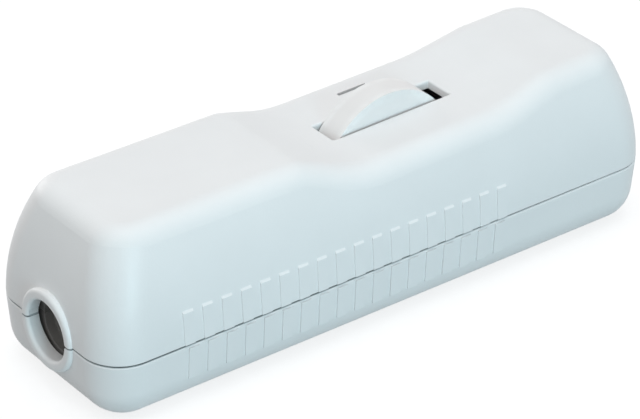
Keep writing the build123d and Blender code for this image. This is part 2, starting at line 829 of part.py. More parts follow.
with BuildPart() as heatsink_nut:
    with BuildSketch(Plane.XZ.offset(-heatsink_y - heatsink_t - nut_t)):
        with Locations((heatsink_x, triac_hole_z)):
            RegularPolygon(nut_r, 6)
            Circle(heatsink_screw_r + pilot_clearance, mode=Mode.SUBTRACT)
    extrude(amount=nut_t)
save(heatsink_nut, "heatsink_nut")

# Choke: a ferrite rod inside a winding of thick wire
choke_z = board_top_z + small_gap + choke_winding_r
with BuildPart() as choke_core:
    with BuildSketch(Plane.YZ.offset(choke_x - choke_core_length / 2)):
        with Locations((choke_y, choke_z)):
            Circle(choke_core_r)
    extrude(amount=choke_core_length)
    chamfer(choke_core.edges().filter_by(GeomType.CIRCLE), choke_core_edge)
save(choke_core, "choke_core")

with BuildPart() as choke_winding:
    turn = choke_winding_length / choke_turns
    first = choke_x - choke_winding_length / 2
    outer_z = choke_z + choke_winding_r
    with BuildSketch(Plane(origin=(0, choke_y, 0), x_dir=(1, 0, 0), z_dir=(0, -1, 0))):
        with BuildLine():
            crests = []
            for i in range(choke_turns):
                crests += [(first + i * turn, outer_z - choke_groove), (first + (i + 0.5) * turn, outer_z)]
            Polyline(
                (first, choke_z + choke_core_r + choke_fit), *crests,
                (first + choke_winding_length, outer_z - choke_groove),
                (first + choke_winding_length, choke_z + choke_core_r + choke_fit), close=True,
            )
        make_face()
    revolve(axis=Axis((0, choke_y, choke_z), (1, 0, 0)))
    add(pins(choke_leads_at, choke_lead_r, choke_z - choke_core_r - choke_lead_r))
save(choke_winding, "choke_winding")


def box_capacitor(x, y, size, edge_r):
    """Moulded box capacitor standing just clear of the board."""
    with BuildPart() as body:
        with BuildSketch(Plane.XY.offset(board_top_z + small_gap)):
            with Locations((x, y)):
                Rectangle(size[0], size[1])
        extrude(amount=size[2])
        fillet(body.edges().filter_by(Axis.Z) + body.faces().sort_by(Axis.Z)[-1].edges(), edge_r)
    return body.part


with BuildPart() as film_capacitor:
    add(box_capacitor(film_cap_x, film_cap_y, film_cap_size, film_cap_edge_r))
save(film_capacitor, "film_capacitor")

with BuildPart() as timing_capacitors:
    for y in timing_cap_rows:
        add(box_capacitor(timing_cap_x, y, timing_cap_size, timing_cap_edge_r))
save(timing_capacitors, "timing_capacitors")

# Small round parts lying just above the board
resistor_z = board_top_z + small_gap + resistor_r
with BuildPart() as resistors:
    for y in resistor_rows:
        with BuildSketch(Plane.YZ.offset(resistor_x - resistor_length / 2)):
            with Locations((y, resistor_z)):
                Circle(resistor_r)
        extrude(amount=resistor_length)
    fillet(resistors.edges().filter_by(GeomType.CIRCLE), resistor_edge_r)
save(resistors, "resistors")

diac_z = board_top_z + small_gap + diac_r
with BuildPart() as diac:
    with BuildSketch(Plane.XZ.offset(-diac_y - diac_length / 2)):
        with Locations((diac_x, diac_z)):
            Circle(diac_r)
    extrude(amount=diac_length)
    fillet(diac.edges().filter_by(GeomType.CIRCLE), diac_edge_r)
save(diac, "diac")

# Glow lamp under the slit
with BuildPart() as glow_lamp:
    with BuildSketch(Plane.YZ.offset(lamp_x - lamp_length / 2)):
        with Locations((lamp_y, lamp_z)):
            Circle(lamp_r)
    extrude(amount=lamp_length)
    fillet(glow_lamp.faces().sort_by(Axis.X)[0].edges(), lamp_nose_r)
    fillet(glow_lamp.faces().sort_by(Axis.X)[-1].edges(), lamp_base_r)
save(glow_lamp, "glow_lamp")


def bent_lead(start, end):
    """Wire that leaves a part level, at start, and turns down into the board at end."""
    with BuildPart() as wire:
        with BuildLine() as path:
            x, y = end
            FilletPolyline(start, (x, y, start[2]), (x, y, lead_low_z), radius=lead_bend_r)
        with BuildSketch(Plane(origin=path.line @ 0, z_dir=path.line % 0)):
            Circle(lead_r)
        sweep()
    return wire.part


with BuildPart() as component_leads:
    add(pins(film_cap_leads_at + timing_cap_leads_at, lead_r, board_top_z + small_gap))
    for y in resistor_rows:
        for end in ends:
            start = (resistor_x + end * resistor_length / 2, y, resistor_z)
            add(bent_lead(start, (resistor_x + end * resistor_lead_pitch / 2, y)))
    for end in ends:
        start = (diac_x, diac_y + end * diac_length / 2, diac_z)
        add(bent_lead(start, (diac_x, diac_y + end * diac_lead_pitch / 2)))
    for place in lamp_leads_at:
        add(bent_lead((lamp_x + lamp_length / 2, place[1], lamp_z), place))
save(component_leads, "component_leads")

# Fuse in its two clips, across the board
fuse_z = board_top_z + clip_t + clip_fit + fuse_r
with BuildPart() as fuse_tube:
    with BuildSketch(Plane.XZ.offset(-(fuse_length / 2 - fuse_cap_t))):
        with Locations((fuse_x, fuse_z)):
            Circle(fuse_r - fuse_cap_t - fuse_glass_fit)
            Circle(fuse_bore_r, mode=Mode.SUBTRACT)
    extrude(amount=fuse_length - 2 * fuse_cap_t)
save(fuse_tube, "fuse_tube")

with BuildPart() as fuse_caps:
    for side in sides:
        with BuildSketch(Plane.XZ.offset(side * fuse_length / 2)):
            with Locations((fuse_x, fuse_z)):
                Circle(fuse_r)
        extrude(amount=-side * fuse_cap_length)
        with BuildSketch(Plane.XZ.offset(side * (fuse_length / 2 - fuse_cap_t))):
            with Locations((fuse_x, fuse_z)):
                Circle(fuse_r - fuse_cap_t)
        extrude(amount=-side * fuse_cap_length, mode=Mode.SUBTRACT)
save(fuse_caps, "fuse_caps")

with BuildPart() as fuse_clips:
    clip_r = fuse_r + clip_fit
    for side in sides:
        with BuildSketch(Plane.XZ.offset(side * clip_y - clip_w / 2)):
            with Locations((fuse_x, fuse_z)):
                Circle(clip_r + clip_t)
            with Locations((fuse_x, board_top_z + clip_t / 2)):
                Rectangle(clip_foot, clip_t)
            with Locations((fuse_x, fuse_z)):
                Circle(clip_r, mode=Mode.SUBTRACT)
                add(sector(2 * fuse_r, 90, clip_mouth_half_angle), mode=Mode.SUBTRACT)
        extrude(amount=clip_w)
    add(pins(clip_pins_at, pin_r, board_top_z + clip_t / 2))
save(fuse_clips, "fuse_clips")

# Terminal blocks at both ends of the board, with a metal cage and a screw for each wire
pocket = [size + 2 * cage_clearance for size in (cage_length, cage_width, cage_height)]
wire_z = cage_low_z + cage_bore_z
for end, name in zip(ends, ("terminal_block_left", "terminal_block_right")):
    with BuildPart() as terminal_block:
        with BuildSketch(Plane.XY.offset(board_top_z)):
            with Locations((end * terminal_x, 0)):
                Rectangle(terminal_length, 2 * terminal_half_width)
        extrude(amount=terminal_height)
        fillet(terminal_block.faces().sort_by(Axis.Z)[-1].edges(), terminal_edge_r)
        for side in sides:
            with BuildSketch(Plane.XY.offset(board_top_z)):
                with Locations((end * terminal_x, side * terminal_pole_y)):
                    Rectangle(pocket[0], pocket[1])
            extrude(amount=cage_lift + pocket[2], mode=Mode.SUBTRACT)
            with BuildSketch(Plane.XY.offset(board_top_z)):
                with Locations((end * terminal_x, side * terminal_pole_y)):
                    Circle(terminal_screw_head_r + cage_clearance)
            extrude(amount=terminal_height, mode=Mode.SUBTRACT)
            with BuildSketch(Plane.YZ.offset(end * terminal_x)):
                with Locations((side * terminal_pole_y, wire_z)):
                    Circle(terminal_wire_r)
            extrude(amount=end * terminal_length, mode=Mode.SUBTRACT)
    save(terminal_block, name)

with BuildPart() as terminal_cages:
    for end in ends:
        for side in sides:
            with BuildSketch(Plane.XY.offset(cage_low_z)):
                with Locations((end * terminal_x, side * terminal_pole_y)):
                    Rectangle(cage_length, cage_width)
            extrude(amount=cage_height)
            with BuildSketch(Plane.YZ.offset(end * terminal_x)):
                with Locations((side * terminal_pole_y, wire_z)):
                    Circle(cage_bore_r)
            extrude(amount=cage_length, both=True, mode=Mode.SUBTRACT)
            with BuildSketch(Plane.XY.offset(wire_z)):
                with Locations((end * terminal_x, side * terminal_pole_y)):
                    Circle(terminal_screw_r + pilot_clearance)
            extrude(amount=cage_height, mode=Mode.SUBTRACT)
    add(pins(cage_pins_at, pin_r, cage_low_z))
save(terminal_cages, "terminal_cages")

cage_top_z = cage_low_z + cage_height
with BuildPart() as terminal_screws:
    with Locations([(x, y, cage_top_z + terminal_screw_lift) for x, y in cage_pins_at]):
        add(screw(
            terminal_screw_head_r,
            terminal_screw_head_h,
            terminal_screw_r,
            terminal_screw_length,
            blunt_tip,
        ))
save(terminal_screws, "terminal_screws")

# Cord clamps just inside the entries: a grooved base in the lower shell and a bar that screws down on it
clamp_screw_places = [(x * clamp_x, y * clamp_screw_y) for x in ends for y in sides]
flange_top_z = parting_z + clamp_flange_t


def clamp_channel(end):
    """The space for the cord through a clamp, narrowed by two rings of teeth."""
    with BuildPart() as channel:
        with BuildSketch(Plane.YZ.offset(end * clamp_inner_x)):
            with Locations((0, parting_z)):
                Circle(clamp_channel_r)
        extrude(amount=end * clamp_length)
        for tooth in (-0.5, 0.5):
            centre = end * (clamp_x + tooth * clamp_tooth_pitch)
            with BuildSketch(Plane.YZ.offset(centre - clamp_tooth_w / 2)):
                with Locations((0, parting_z)):
                    Circle(clamp_channel_r)
                    Circle(clamp_channel_r - clamp_tooth_h, mode=Mode.SUBTRACT)
            extrude(amount=clamp_tooth_w, mode=Mode.SUBTRACT)
    return channel.part


for end, name in zip(ends, ("left", "right")):
    with BuildPart() as clamp_base:
        with BuildSketch(Plane.XY):
            with Locations((end * clamp_x, 0)):
                Rectangle(clamp_length, 2 * clamp_half_width)
        extrude(amount=parting_z)
        add(clamp_seat, mode=Mode.INTERSECT)
        add(clamp_channel(end), mode=Mode.SUBTRACT)
        with BuildSketch(Plane.XY.offset(parting_z)):
            with Locations([(end * clamp_x, y * clamp_screw_y) for y in sides]):
                Circle(clamp_screw_r + pilot_clearance)
        extrude(amount=-(clamp_screw_length - clamp_flange_t + pilot_extra), mode=Mode.SUBTRACT)
    save(clamp_base, "clamp_base_" + name)
    with BuildPart() as clamp_bar:
        with BuildSketch(Plane.YZ.offset(end * clamp_inner_x)):
            with Locations((0, parting_z)):
                Circle(clamp_arch_r)
            with Locations((0, parting_z + clamp_flange_t / 2)):
                Rectangle(2 * clamp_half_width, clamp_flange_t)
            with Locations((0, parting_z - clamp_arch_r / 2)):
                Rectangle(2 * clamp_arch_r, clamp_arch_r, mode=Mode.SUBTRACT)
        extrude(amount=end * clamp_length)
        add(clamp_channel(end), mode=Mode.SUBTRACT)
        with BuildSketch(Plane.XY.offset(parting_z)):
            with Locations([(end * clamp_x, y * clamp_screw_y) for y in sides]):
                Circle(clamp_screw_r + screw_hole_clearance)
        extrude(amount=clamp_arch_r, mode=Mode.SUBTRACT)
    save(clamp_bar, "clamp_bar_" + name)

with BuildPart() as clamp_screws:
    with Locations([(x, y, flange_top_z) for x, y in clamp_screw_places]):
        add(screw(clamp_screw_head_r, clamp_screw_head_h, clamp_screw_r, clamp_screw_length, sharp_tip))
save(clamp_screws, "clamp_screws")

with BuildPart() as board_screws:
    with Locations([(x, y, board_top_z) for x, y in board_screw_places]):
        board_screw_length = board_t + board_screw_bite
        add(screw(board_screw_head_r, board_screw_head_h, board_screw_r, board_screw_length, sharp_tip))
save(board_screws, "board_screws")

with BuildPart() as housing_screws:
    for x, y in housing_screw_places:
        with Locations(Plane(origin=(x, y, head_seat_z), x_dir=(1, 0, 0), z_dir=(0, 0, -1))):
            add(screw(
                housing_screw_head_r,
                housing_screw_head_h,
                housing_screw_r,
                housing_screw_length,
                sharp_tip,
            ))
save(housing_screws, "housing_screws")
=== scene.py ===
import json
import math

import bpy
from bpy.props import FloatProperty, FloatVectorProperty, PointerProperty
from mathutils import Matrix, Vector


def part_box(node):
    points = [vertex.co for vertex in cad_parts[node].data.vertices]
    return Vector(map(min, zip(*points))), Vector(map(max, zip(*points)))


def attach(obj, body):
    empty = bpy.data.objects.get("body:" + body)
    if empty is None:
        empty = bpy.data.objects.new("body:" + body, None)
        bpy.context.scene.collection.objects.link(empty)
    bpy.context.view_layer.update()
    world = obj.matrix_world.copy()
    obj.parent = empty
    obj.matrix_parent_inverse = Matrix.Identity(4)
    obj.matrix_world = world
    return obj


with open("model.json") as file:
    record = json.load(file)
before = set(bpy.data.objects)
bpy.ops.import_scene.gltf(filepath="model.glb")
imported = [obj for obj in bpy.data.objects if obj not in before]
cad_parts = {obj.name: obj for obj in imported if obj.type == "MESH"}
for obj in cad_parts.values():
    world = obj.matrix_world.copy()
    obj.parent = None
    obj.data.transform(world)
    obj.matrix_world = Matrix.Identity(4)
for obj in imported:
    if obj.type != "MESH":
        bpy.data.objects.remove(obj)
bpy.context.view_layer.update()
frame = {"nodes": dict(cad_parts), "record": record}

bl_info = {
    "name": "Inline Cord Dimmer",
    "version": (1, 0, 0),
    "blender": (4, 5, 0),
    "location": "View3D > Sidebar > Dimmer",
    "description": "Finishes, small inner details and studio for an inline cord dimmer",
    "category": "Object",
}

MM = 0.001
JOINT_SHADE_FROM = -20.0 * MM  # along the joint, where its dust and painted shade begin to thin out
JOINT_SHADE_TO = 52.0 * MM  # and where it is clean, with no painted shade
PINS_APART = 1.2 * MM  # points nearer than this belong to one pin
SOLDER_WAIST = 0.84  # how far the middle of a solder joint is drawn in
FUSE_SAG = 0.35 * MM  # how far the fuse's wire hangs down at its middle
PLASTIC_IOR = 1.49
GLASS_IOR = 1.5
NOISE_LOW, NOISE_HIGH = 0.3, 0.7  # the range in which most of a noise lies
TONE_DARK, TONE_LIGHT = 0.32, 0.68  # where a colour ramp leaves its dark end and meets its light one
COOL_WHITE = (0.98, 0.99, 1.0)
PALE_BLUE = (0.62, 0.91, 1.0)
WARM_WHITE = (1.0, 0.90, 0.79)
PAPER_GLOW = 0.77  # lifts the floor to white where it is seen
WORLD_STRENGTH = 0.46


# Sizes and colours that a user would change


class DimmerHousingSettings(bpy.types.PropertyGroup):
    colour: FloatVectorProperty(
        name="Housing colour", description="Colour of the two moulded shells", subtype="COLOR",
        size=3, min=0.0, max=1.0, default=(0.83, 0.84, 0.845),
    )
    grain: FloatProperty(
        name="Grain size", description="Distance between the dots of the spark-eroded mould texture",
        default=0.45 * MM, min=0.05 * MM, max=2.0 * MM, unit="LENGTH", precision=5,
    )
    grain_depth: FloatProperty(
        name="Grain depth", description="Height of the mould texture", default=0.012 * MM,
        min=0.0, max=0.1 * MM, unit="LENGTH", precision=6,
    )
    roughness: FloatProperty(
        name="Roughness", description="How matt the shells are", default=0.46,
        min=0.0, max=1.0, subtype="FACTOR",
    )
    # The joint's faces are darkened as dust and as painted shade, which stands in for the shadow in the gap
    # between the shells.
    joint_dust_and_shade: FloatProperty(
        name="Joint dust", description="How far from the middle of the joint its faces are darkened",
        default=0.18 * MM, min=0.0, max=0.5 * MM, unit="LENGTH", precision=5,
    )
    dust_and_shade_colour: FloatVectorProperty(
        name="Dust colour", description="Colour of the faces inside the joint", subtype="COLOR",
        size=3, min=0.0, max=1.0, default=(0.43, 0.46, 0.47),
    )


class DimmerWheelSettings(bpy.types.PropertyGroup):
    colour: FloatVectorProperty(
        name="Wheel colour", description="Colour of the thumbwheel", subtype="COLOR",
        size=3, min=0.0, max=1.0, default=(0.80, 0.79, 0.785),
    )
    roughness: FloatProperty(
        name="Roughness", description="How matt the wheel is", default=0.38,
        min=0.0, max=1.0, subtype="FACTOR",
    )
    # The paler band along the rim's edges is wear and a painted highlight of their rounding.
    wear_and_highlight: FloatProperty(
        name="Worn edge", description="Width of the worn band along the rim's edges", default=2.2 * MM,
        min=0.2 * MM, max=4.0 * MM, unit="LENGTH", precision=5,
    )
    worn_and_highlight_colour: FloatVectorProperty(
        name="Worn colour", description="Colour of the rim's edges where thumbs rub them", subtype="COLOR",
        size=3, min=0.0, max=1.0, default=(0.87, 0.875, 0.87),
    )


class DimmerInsideSettings(bpy.types.PropertyGroup):
    clamp_colour: FloatVectorProperty(
        name="Clamp colour", description="Colour of the cord clamps and terminal blocks", subtype="COLOR",
        size=3, min=0.0, max=1.0, default=(0.21, 0.205, 0.20),
    )
    board_colour: FloatVectorProperty(
        name="Board colour", description="Colour of the phenolic paper board", subtype="COLOR",
        size=3, min=0.0, max=1.0, default=(0.36, 0.19, 0.065),
    )
    solder_radius: FloatProperty(
        name="Solder radius", description="Radius of a solder joint at the board", default=0.95 * MM,
        min=0.6 * MM, max=1.5 * MM, unit="LENGTH", precision=5,
    )
    solder_height: FloatProperty(
        name="Solder height", description="How far a solder joint reaches down a pin", default=0.9 * MM,
        min=0.3 * MM, max=1.1 * MM, unit="LENGTH", precision=5,
    )
    fuse_wire: FloatProperty(
        name="Fuse wire", description="Thickness of the wire in the fuse", default=0.16 * MM,
        min=0.05 * MM, max=0.5 * MM, unit="LENGTH", precision=5,
    )


class DimmerStudioSettings(bpy.types.PropertyGroup):
    target: FloatVectorProperty(
        name="Aim point", description="Point that the camera looks at", subtype="TRANSLATION", unit="LENGTH",
        size=3, default=(-2.6 * MM, 0.0, 15.33 * MM),
    )
    azimuth: FloatProperty(
        name="Azimuth", description="Turn of the camera about the upright axis", subtype="ANGLE",
        unit="ROTATION", default=math.radians(-37.36),
    )
    elevation: FloatProperty(
        name="Elevation", description="Height of the camera above the table", subtype="ANGLE",
        unit="ROTATION", default=math.radians(30.83),
    )
    roll: FloatProperty(
        name="Roll", description="Tilt of the camera about its own view", subtype="ANGLE",
        unit="ROTATION", default=math.radians(0.15),
    )
    distance: FloatProperty(
        name="Distance", description="From the camera to the aim point", default=582.0 * MM, unit="LENGTH",
    )
    lens: FloatProperty(
        name="Lens", description="Focal length on a 36 mm sensor", default=184.9, unit="CAMERA",
    )
    top_power: FloatProperty(
        name="Top light", description="Power of the softbox above", default=2.6, unit="POWER",
    )
    front_power: FloatProperty(
        name="Front light", description="Power of the softbox along the ribbed side", default=3.12,
        unit="POWER",
    )
    end_power: FloatProperty(
        name="End light", description="Power of the small softbox at the cord entry", default=0.58,
        unit="POWER",
    )
    back_power: FloatProperty(
        name="Back light", description="Power of the softbox behind", default=1.5, unit="POWER",
    )
    floor_size: FloatProperty(name="Floor", description="Width of the floor", default=4.0, unit="LENGTH")


# Helpers


def deselect_all():
    """Leave object mode with nothing selected."""
    if bpy.context.object and bpy.context.object.mode != "OBJECT":
        bpy.ops.object.mode_set(mode="OBJECT")
    bpy.ops.object.select_all(action="DESELECT")


def pick(*pieces):
    """Select these pieces alone, the first of them active."""
    deselect_all()
    for piece in pieces:
        piece.select_set(True)
    bpy.context.view_layer.objects.active = pieces[0]


def seat(piece, body, material):
    """Give a new piece its material and its place among the bodies."""
    piece.data.materials.clear()
    piece.data.materials.append(material)
    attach(piece, body)


def apply_place(piece):
    """Put a piece's place into its mesh, with its origin at the world's."""
    pick(piece)
    bpy.ops.object.transform_apply(location=True, rotation=True, scale=True)


def join_all(pieces, name):
    """Join copies into one named object."""
    pick(*pieces)
    if len(pieces) > 1:
        bpy.ops.object.join()
    joined = bpy.context.view_layer.objects.active
    joined.name = name
    joined.data.name = name
    return joined


def paint(node, material):
    """Give a CAD node its material."""
    mesh = frame["nodes"][node].data
    mesh.materials.clear()
    mesh.materials.append(material)


def pin_places(node, level):
    """Middles of the pins of a node where they pass a level, from its mesh."""
    below = [v.co for v in frame["nodes"][node].data.vertices if v.co.z < level]
    groups = []
    for point in below:
        for group in groups:
            if (Vector(group[0][:2]) - Vector(point[:2])).length < PINS_APART:
                group.append(point)
                break
        else:
            groups.append([point])
    return [
        (
            (min(p.x for p in group) + max(p.x for p in group)) / 2,
            (min(p.y for p in group) + max(p.y for p in group)) / 2,
        )
        for group in groups
    ]


# Materials


def blank_material(name):
    """New node material with a Principled shader; returns it with its nodes, links and shader."""
    material = bpy.data.materials.new(name)
    material.use_nodes = True
    nodes = material.node_tree.nodes
    nodes.clear()
    output = nodes.new("ShaderNodeOutputMaterial")
    output.location = (600, 0)
    shader = nodes.new("ShaderNodeBsdfPrincipled")
    shader.location = (300, 0)
    material.node_tree.links.new(shader.outputs["BSDF"], output.inputs["Surface"])
    return material, nodes, material.node_tree.links, shader


def own_coordinates(nodes, links, scale=(1, 1, 1)):
    """Object coordinates through a Mapping node."""
    coordinates = nodes.new("ShaderNodeTexCoord")
    coordinates.location = (-1100, 0)
    mapping = nodes.new("ShaderNodeMapping")
    mapping.location = (-900, 0)
    mapping.inputs["Scale"].default_value = scale
    links.new(coordinates.outputs["Object"], mapping.inputs["Vector"])
    return mapping.outputs["Vector"]


def noise(nodes, links, vector, size, detail, place):
    """Noise texture whose blobs are about size metres across."""
    texture = nodes.new("ShaderNodeTexNoise")
    texture.location = place
    texture.inputs["Scale"].default_value = 1.0 / size
    texture.inputs["Detail"].default_value = detail
    texture.inputs["Roughness"].default_value = 0.55
    links.new(vector, texture.inputs["Vector"])
    return texture.outputs["Fac"]


def spread(nodes, links, value, low, high, place):
    """Map a noise value onto a range."""
    remap = nodes.new("ShaderNodeMapRange")
    remap.location = place
    remap.inputs["From Min"].default_value = NOISE_LOW
    remap.inputs["From Max"].default_value = NOISE_HIGH
    remap.inputs["To Min"].default_value = low
    remap.inputs["To Max"].default_value = high
    links.new(value, remap.inputs["Value"])
    return remap.outputs["Result"]


def calculated(nodes, links, operation, first, second, place):
    """Math node of a socket and either another socket or a number."""
    node = nodes.new("ShaderNodeMath")
    node.operation = operation
    node.location = place
    links.new(first, node.inputs[0])
    if hasattr(second, "links"):
        links.new(second, node.inputs[1])
    else:
        node.inputs[1].default_value = second
    return node.outputs[0]


def eased(nodes, links, value, low, high, first, last, place):
    """Soft step from one number to another as a value goes from low to high."""
    step = nodes.new("ShaderNodeMapRange")
    step.interpolation_type = "SMOOTHSTEP"
    step.location = place
    for name, number in (("From Min", low), ("From Max", high), ("To Min", first), ("To Max", last)):
        step.inputs[name].default_value = number
    links.new(value, step.inputs["Value"])
    return step.outputs["Result"]


def two_tone(nodes, links, value, first, second, place):
    """Blend of two colours by a value."""
    ramp = nodes.new("ShaderNodeValToRGB")
    ramp.location = place
    ramp.color_ramp.elements[0].position = TONE_DARK
    ramp.color_ramp.elements[0].color = (*first, 1)
    ramp.color_ramp.elements[1].position = TONE_LIGHT
    ramp.color_ramp.elements[1].color = (*second, 1)
    links.new(value, ramp.inputs["Fac"])
    return ramp.outputs["Color"]


def relief(nodes, links, height, depth, shader, place, before=None):
    """Bump of a depth in metres; returns the node so that a second one can follow it."""
    bump = nodes.new("ShaderNodeBump")
    bump.location = place
    bump.inputs["Distance"].default_value = depth
    bump.inputs["Strength"].default_value = 1.0
    links.new(height, bump.inputs["Height"])
    if before is not None:
        links.new(before.outputs["Normal"], bump.inputs["Normal"])
    links.new(bump.outputs["Normal"], shader.inputs["Normal"])
    return bump


def shaded(colour, factor):
    """A colour made darker or lighter."""
    return tuple(min(1.0, channel * factor) for channel in colour)


def tint(nodes, links, shader, value, colour, dark, light, place):
    """Vary a shader's colour from a darker to a lighter tone by a value."""
    tones = two_tone(nodes, links, value, shaded(colour, dark), shaded(colour, light), place)
    links.new(tones, shader.inputs["Base Color"])


def vary_roughness(nodes, links, shader, value, low, high, place):
    """Vary a shader's roughness by a noise value."""
    links.new(spread(nodes, links, value, low, high, place), shader.inputs["Roughness"])


def moulded_plastic(name, colour, roughness, grain, grain_depth, mottle=0.02, coat=0.0):
    """Moulded plastic: faint mottling, a fine mould grain and soft waviness, with a grain-linked sheen."""
    material, nodes, links, shader = blank_material(name)
    vector = own_coordinates(nodes, links)
    cloud = noise(nodes, links, vector, 14 * MM, 3, (-650, 250))
    tint(nodes, links, shader, cloud, colour, 1 - mottle, 1 + mottle, (-250, 250))
    fine = noise(nodes, links, vector, grain, 2, (-650, -50))
    vary_roughness(nodes, links, shader, fine, roughness - 0.06, roughness + 0.06, (-250, 0))
    wave = noise(nodes, links, vector, 9 * MM, 1, (-650, -350))
    sink = relief(nodes, links, wave, 0.02 * MM, shader, (-250, -350))
    relief(nodes, links, fine, grain_depth, shader, (0, -250), sink)
    shader.inputs["IOR"].default_value = PLASTIC_IOR
    if coat:
        shader.inputs["Coat Weight"].default_value = coat
        shader.inputs["Coat Roughness"].default_value = 0.12
    return material


def drawn_metal(name, colour, roughness, scale, streak=0.35 * MM):
    """Metal with fine marks drawn out along one direction, and faint staining."""
    material, nodes, links, shader = blank_material(name)
    vector = own_coordinates(nodes, links, scale)
    marks = noise(nodes, links, vector, streak, 4, (-650, 0))
    vary_roughness(nodes, links, shader, marks, roughness - 0.08, roughness + 0.10, (-250, 0))
    relief(nodes, links, marks, 0.006 * MM, shader, (0, -250))
    plain = own_coordinates(nodes, links)
    stain = noise(nodes, links, plain, 2.5 * MM, 3, (-650, 300))
    tint(nodes, links, shader, stain, colour, 0.90, 1.05, (-250, 300))
    shader.inputs["Metallic"].default_value = 1.0
    return material


def laminate(name, colour):
    """Phenolic paper board: fine woven streaks both ways and a resin gloss."""
    material, nodes, links, shader = blank_material(name)
    along = noise(nodes, links, own_coordinates(nodes, links, (0.12, 1, 1)), 0.5 * MM, 3, (-650, 350))
    across = noise(nodes, links, own_coordinates(nodes, links, (1, 0.12, 1)), 0.5 * MM, 3, (-650, 100))
    both = calculated(nodes, links, "ADD", along, across, (-530, 150))
    weave = calculated(nodes, links, "MULTIPLY", both, 0.5, (-380, 150))
    tint(nodes, links, shader, weave, colour, 0.75, 1.3, (-200, 250))
    vary_roughness(nodes, links, shader, weave, 0.32, 0.48, (-200, -50))
    relief(nodes, links, weave, 0.01 * MM, shader, (0, -250))
    return material


def sintered(name, colour):
    """Ferrite: matt and very slightly pitted."""
    material, nodes, links, shader = blank_material(name)
    vector = own_coordinates(nodes, links)
    pits = nodes.new("ShaderNodeTexVoronoi")
    pits.location = (-650, 0)
    pits.inputs["Scale"].default_value = 1.0 / (0.3 * MM)
    links.new(vector, pits.inputs["Vector"])
    dust = noise(nodes, links, vector, 1.5 * MM, 4, (-650, 300))
    tint(nodes, links, shader, dust, colour, 0.7, 1.5, (-250, 300))
    vary_roughness(nodes, links, shader, dust, 0.55, 0.75, (-250, 0))
    relief(nodes, links, pits.outputs["Distance"], 0.03 * MM, shader, (0, -250))
    return material


def enamelled_wire(name, colour):
    """Enamelled copper turns: a lacquered metal with each turn a little different."""
    material, nodes, links, shader = blank_material(name)
    turns = noise(nodes, links, own_coordinates(nodes, links, (1, 0.05, 0.05)), 1.2 * MM, 2, (-650, 200))
    tint(nodes, links, shader, turns, colour, 0.7, 1.25, (-250, 200))
    vary_roughness(nodes, links, shader, turns, 0.22, 0.4, (-250, -50))
    relief(nodes, links, turns, 0.01 * MM, shader, (0, -250))
    shader.inputs["Metallic"].default_value = 1.0
    shader.inputs["Coat Weight"].default_value = 0.6
    shader.inputs["Coat Roughness"].default_value = 0.15
    return material


def drawn_glass(name, colour, roughness):
    """Clear glass tube with faint draw lines."""
    material, nodes, links, shader = blank_material(name)
    lines = noise(nodes, links, own_coordinates(nodes, links, (0.1, 0.1, 1)), 0.4 * MM, 2, (-650, 0))
    vary_roughness(nodes, links, shader, lines, roughness - 0.02, roughness + 0.03, (-250, 0))
    relief(nodes, links, lines, 0.004 * MM, shader, (0, -250))
    tint(nodes, links, shader, lines, colour, 0.96, 1.0, (-250, 250))
    shader.inputs["Transmission Weight"].default_value = 1.0
    shader.inputs["IOR"].default_value = GLASS_IOR
    return material


def tinned(name, colour):
    """Solder: bright tin with soft frosty patches."""
    material, nodes, links, shader = blank_material(name)
    frost = noise(nodes, links, own_coordinates(nodes, links), 0.6 * MM, 4, (-650, 0))
    vary_roughness(nodes, links, shader, frost, 0.18, 0.42, (-250, 0))
    tint(nodes, links, shader, frost, colour, 0.85, 1.05, (-250, 250))
    relief(nodes, links, frost, 0.01 * MM, shader, (0, -250))
    shader.inputs["Metallic"].default_value = 1.0
    return material


def lay_over(material, amount, colour):
    """Lay a colour over a material's own, by an amount."""
    nodes, links = material.node_tree.nodes, material.node_tree.links
    shader = next(node for node in nodes if node.type == "BSDF_PRINCIPLED")
    mix = nodes.new("ShaderNodeMix")
    mix.data_type = "RGBA"
    mix.location = (100, 450)
    links.new(amount, mix.inputs["Factor"])
    links.new(shader.inputs["Base Color"].links[0].from_socket, mix.inputs["A"])
    mix.inputs["B"].default_value = (*colour, 1)
    links.new(mix.outputs["Result"], shader.inputs["Base Color"])


def dust_and_shade_in_joint(material, height, reach, dust):
    """Darken a shell's colour on the faces near the joint, as dust and as painted shade in the gap between
    the shells, less and less towards the wheel's end.
    """
    nodes, links = material.node_tree.nodes, material.node_tree.links
    place = nodes.new("ShaderNodeSeparateXYZ")
    place.location = (-850, 650)
    links.new(own_coordinates(nodes, links), place.inputs[0])
    lift = calculated(nodes, links, "SUBTRACT", place.outputs["Z"], height, (-650, 650))
    away = calculated(nodes, links, "ABSOLUTE", lift, 0.0, (-450, 650))
    # Painted shade and dust: darkest in the middle of the joint, fading out over its reach and towards the
    # wheel's end.
    inside = eased(nodes, links, away, 0.75 * reach, 1.25 * reach, 1.0, 0.0, (-250, 650))
    left = eased(nodes, links, place.outputs["X"], JOINT_SHADE_FROM, JOINT_SHADE_TO, 1.0, 0.0, (-250, 900))
    lay_over(material, calculated(nodes, links, "MULTIPLY", inside, left, (-50, 750)), dust)


